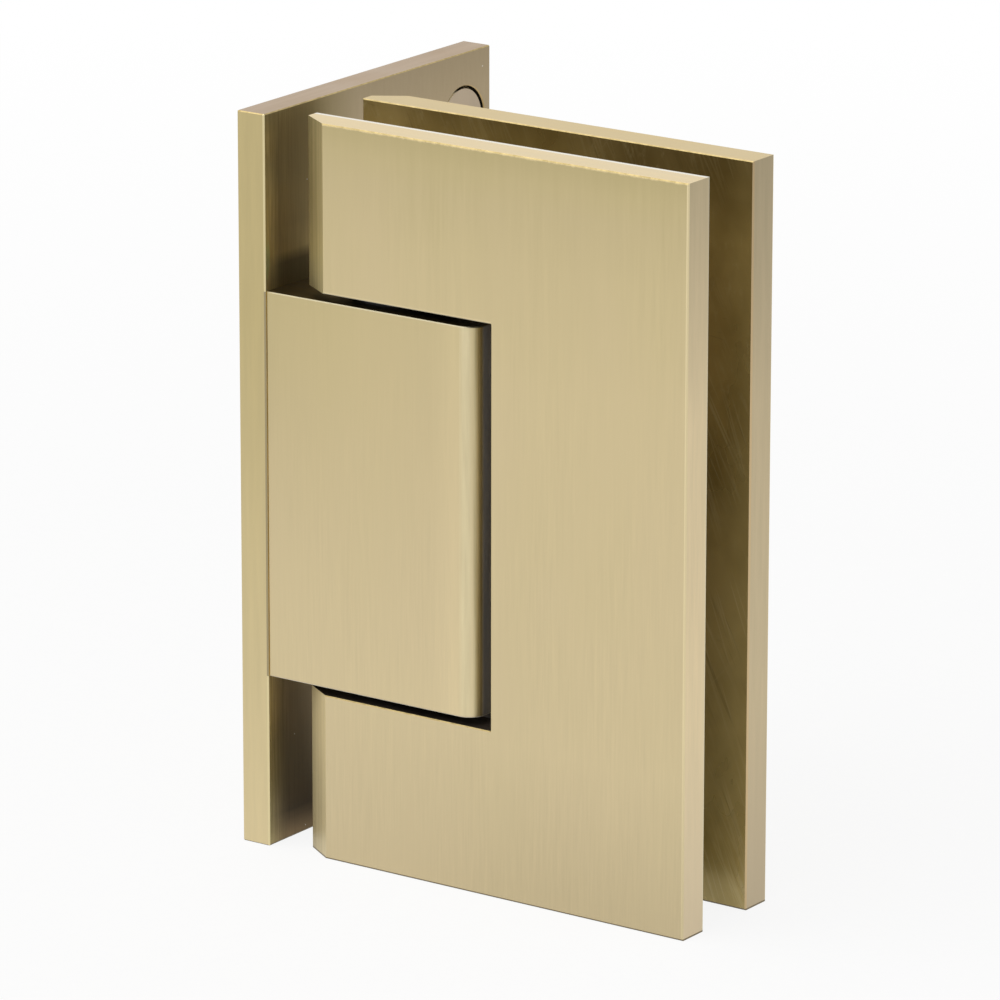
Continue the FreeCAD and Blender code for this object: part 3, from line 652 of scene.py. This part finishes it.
def turned_metal(name, light, dark, rough, axis):
    return tool_marks(name, light, dark, rough, axis).close(0.08, 0.00003)


SCREW_LIGHT = colour(0.59, 0.48, 0.345)
SCREW_DARK = colour(0.52, 0.42, 0.300)
# painted shade in the thread's roots, and painted light and shadow on the head's rim
THREAD_ROOT_SHADE = colour(0.20, 0.155, 0.10)
SCREW_RIM_LIGHT = colour(0.95, 0.86, 0.66)
SCREW_RIM_SHADOW = colour(0.02, 0.016, 0.01)


def wall_screw_brass(name):
    """Turned brass with a thread on the shank, painted shade in its roots, and a head rim with painted light
    in front and painted shadow behind.
    """
    skin = tool_marks(name, SCREW_LIGHT, SCREW_DARK, 0.36, 0)
    aside = skin.minus(skin.y, SCREW_PLACE)
    rise = skin.minus(skin.z, skin.product(skin.math("SIGN", skin.z), SCREW_LEVEL))
    turn = skin.product(skin.math("ARCTAN2", rise, aside), 0.5 / math.pi)
    thread = skin.math("PINGPONG", skin.math("ADD", skin.product(skin.x, 1.0 / THREAD_PITCH), turn), 0.5)
    shank = skin.less(skin.x, -0.2 * MM)
    skin.layer(skin.product(shank, skin.ramp(thread, 0.2, 0.05)), THREAD_ROOT_SHADE)
    rim = skin.product(skin.less(skin.size(skin.nx), 0.3), skin.more(skin.x, 0.0))
    shade = skin.blend(skin.ramp(aside, -1.6 * MM, -0.6 * MM), SCREW_RIM_LIGHT, SCREW_RIM_SHADOW)
    skin.layer(rim, shade, metallic=0.1)
    skin.height = skin.math("ADD", skin.product(skin.height, 0.008), skin.product(thread, shank, 2.0))
    return skin.close(1.0, 0.0003)


def moulded_plastic(name, light, dark, rough):
    """Plastic with a fine moulded grain."""
    skin = Surface(name)
    speck = skin.noise(skin.spot, (6000, 6000, 6000), detail=2.0)
    cloud = skin.noise(skin.spot, (300, 300, 300))
    skin.tint = skin.blend(skin.ramp(cloud, 0.35, 0.65), dark, light)
    skin.roughness = skin.ramp(speck, 0.3, 0.7, rough - 0.08, rough + 0.08)
    skin.metallic = 0.0
    skin.height = speck
    return skin.close(0.1, 0.00003)


# the top's tint, its painted highlight line's tint and that line's width, for each clamp plate
FRONT_CROWN = (colour(0.750, 0.610, 0.360), colour(0.84, 0.80, 0.71), 0.7 * MM)
REAR_CROWN = (colour(0.640, 0.505, 0.255), colour(0.70, 0.560, 0.300), 0.3 * MM)

# the door end's painted lightness (the front end lit brighter, the rear end in shade), the share of it at
# the top and the inner highlight line's tint, for each clamp plate
FRONT_END = (1.24, 0.70, colour(0.66, 0.590, 0.410))
REAR_END = (0.97, 0.75, colour(0.70, 0.530, 0.300))

STEEL_LIGHT = colour(0.62, 0.62, 0.63)
STEEL_DARK = colour(0.42, 0.42, 0.43)
WIRE_DARK = colour(0.28, 0.28, 0.29)
PLASTIC_LIGHT = colour(0.045, 0.045, 0.048)
PLASTIC_DARK = colour(0.018, 0.018, 0.02)

block_finish = block_brass("block_brass")
screw_steel = turned_metal("screw_steel", STEEL_LIGHT, STEEL_DARK, 0.34, 1)
pin_steel = turned_metal("pin_steel", STEEL_LIGHT, STEEL_DARK, 0.24, 2)
spring_wire = turned_metal("spring_wire", STEEL_DARK, WIRE_DARK, 0.36, 0)
bearing = moulded_plastic("bearing_plastic", PLASTIC_LIGHT, PLASTIC_DARK, 0.5)

looks = {
    "wall_plate": wall_brass("wall_brass"),
    "wall_screws": wall_screw_brass("screw_brass"),
    "pivot_block": block_finish,
    "block_screws": screw_steel,
    "upper_bushing": bearing,
    "lower_bushing": bearing,
    "upper_washer": bearing,
    "lower_washer": bearing,
    "pivot_pin": pin_steel,
    "upper_carrier": block_finish,
    "lower_carrier": block_finish,
    "carrier_screws": screw_steel,
    "pin_set_screws": screw_steel,
    "front_clamp_plate": clamp_brass("front_plate_brass", 1.0, FRONT_CROWN, FRONT_END),
    "rear_clamp_plate": clamp_brass("rear_plate_brass", -1.0, REAR_CROWN, REAR_END),
    "clamp_screws": screw_steel,
    "upper_plunger": pin_steel,
    "lower_plunger": pin_steel,
    "upper_spring": spring_wire,
    "lower_spring": spring_wire,
}
for node, material in looks.items():
    piece = nodes[node]
    piece.data.materials.clear()
    piece.data.materials.append(material)


def ray_weight(graph, camera_weight, mirror_weight):
    """A weight for rays from the camera and another for reflections and refractions, 0 for falling light."""
    path = graph.add("ShaderNodeLightPath")
    mirror = graph.either(path.outputs["Is Glossy Ray"], path.outputs["Is Transmission Ray"])
    return graph.either(
        graph.product(path.outputs["Is Camera Ray"], camera_weight),
        graph.product(mirror, mirror_weight),
    )


WHITE = colour(1.0, 1.0, 1.0)
FALLING_LIGHT = 0.6
PAPER = (colour(0.88, 0.88, 0.88), colour(0.92, 0.92, 0.92))
FLOOR_REACH = 3.0

world = bpy.data.worlds.new("studio")
scene.world = world
sky = Graph(world)
lit = sky.add("ShaderNodeBackground", {"Color": WHITE, "Strength": FALLING_LIGHT})
white = sky.add("ShaderNodeBackground", {"Color": WHITE, "Strength": 1.0})
seen = ray_weight(sky, 1.0, 1.0)
choice = sky.add("ShaderNodeMixShader", {0: seen, 1: lit.outputs[0], 2: white.outputs[0]})
sky_output = sky.add("ShaderNodeOutputWorld")
sky.put(sky_output.inputs["Surface"], choice.outputs[0])

paper = bpy.data.materials.new("floor_paper")
sheet = Graph(paper)
spot = sheet.add("ShaderNodeTexCoord").outputs["Object"]
fleck = sheet.ramp(sheet.noise(spot, (900, 900, 900)), 0.3, 0.7)
matt = sheet.add("ShaderNodeBsdfDiffuse")
sheet.put(matt.inputs["Color"], sheet.blend(fleck, *PAPER))
glow = sheet.add("ShaderNodeEmission", {"Color": WHITE, "Strength": 1.0})
distance = sheet.add("ShaderNodeVectorMath", {0: spot}, operation="LENGTH").outputs["Value"]
seen_glow = sheet.ramp(distance, 0.15, 0.45, 0.88, 1.0)
mirrored_glow = sheet.ramp(distance, 0.14, 0.30, 0.65, 0.2)
weight = ray_weight(sheet, seen_glow, mirrored_glow)
sheet.finish(sheet.add("ShaderNodeMixShader", {0: weight, 1: matt.outputs[0], 2: glow.outputs[0]}))

floor_mesh = bpy.data.meshes.new("floor")
corners = [(-1, -1), (1, -1), (1, 1), (-1, 1)]
floor_points = [(x * FLOOR_REACH, y * FLOOR_REACH, cad_low.z) for x, y in corners]
floor_mesh.from_pydata(floor_points, [], [(0, 1, 2, 3)])
floor_mesh.materials.append(paper)
floor = bpy.data.objects.new("floor", floor_mesh)
scene.collection.objects.link(floor)

# one large softbox in front, above and to the left
KEY_PLACE = Vector((-0.32, -0.46, 0.66))
KEY_TARGET = Vector((-0.05, -0.10, -0.045))
KEY_SIDE = 0.9
KEY_POWER = 3.4
key = bpy.data.lights.new("key_softbox", "AREA")
key.shape = "RECTANGLE"
key.size = KEY_SIDE
key.size_y = KEY_SIDE
key.energy = KEY_POWER
lamp = bpy.data.objects.new("key_softbox", key)
lamp.location = KEY_PLACE
lamp.rotation_mode = "QUATERNION"
lamp.rotation_quaternion = (KEY_TARGET - KEY_PLACE).to_track_quat("-Z", "Y")
scene.collection.objects.link(lamp)

# the viewing angle comes from a fit of the object's corners in the photograph
AZIMUTH = math.radians(35.131)
ELEVATION = math.radians(16.099)
ROLL = math.radians(0.067)
DISTANCE = 0.868
TARGET = Vector((31.374, 0.0, 0.686)) * MM
FOCAL_PIXELS = 7407.9
FRAME_PIXELS = 1000.0
SENSOR = 36.0
away = Vector((
    math.sin(AZIMUTH) * math.cos(ELEVATION),
    -math.cos(AZIMUTH) * math.cos(ELEVATION),
    math.sin(ELEVATION),
))
view = bpy.data.cameras.new("camera")
view.sensor_fit = "HORIZONTAL"
view.sensor_width = SENSOR
view.lens = FOCAL_PIXELS / FRAME_PIXELS * SENSOR
view.clip_start = 0.01
view.clip_end = 20.0
camera = bpy.data.objects.new("camera", view)
camera.location = TARGET + away * DISTANCE
camera.rotation_mode = "QUATERNION"
roll = Matrix.Rotation(ROLL, 4, "Z").to_quaternion()
camera.rotation_quaternion = (-away).to_track_quat("-Z", "Y") @ roll
scene.collection.objects.link(camera)
scene.camera = camera

scene.view_settings.view_transform = "Standard"
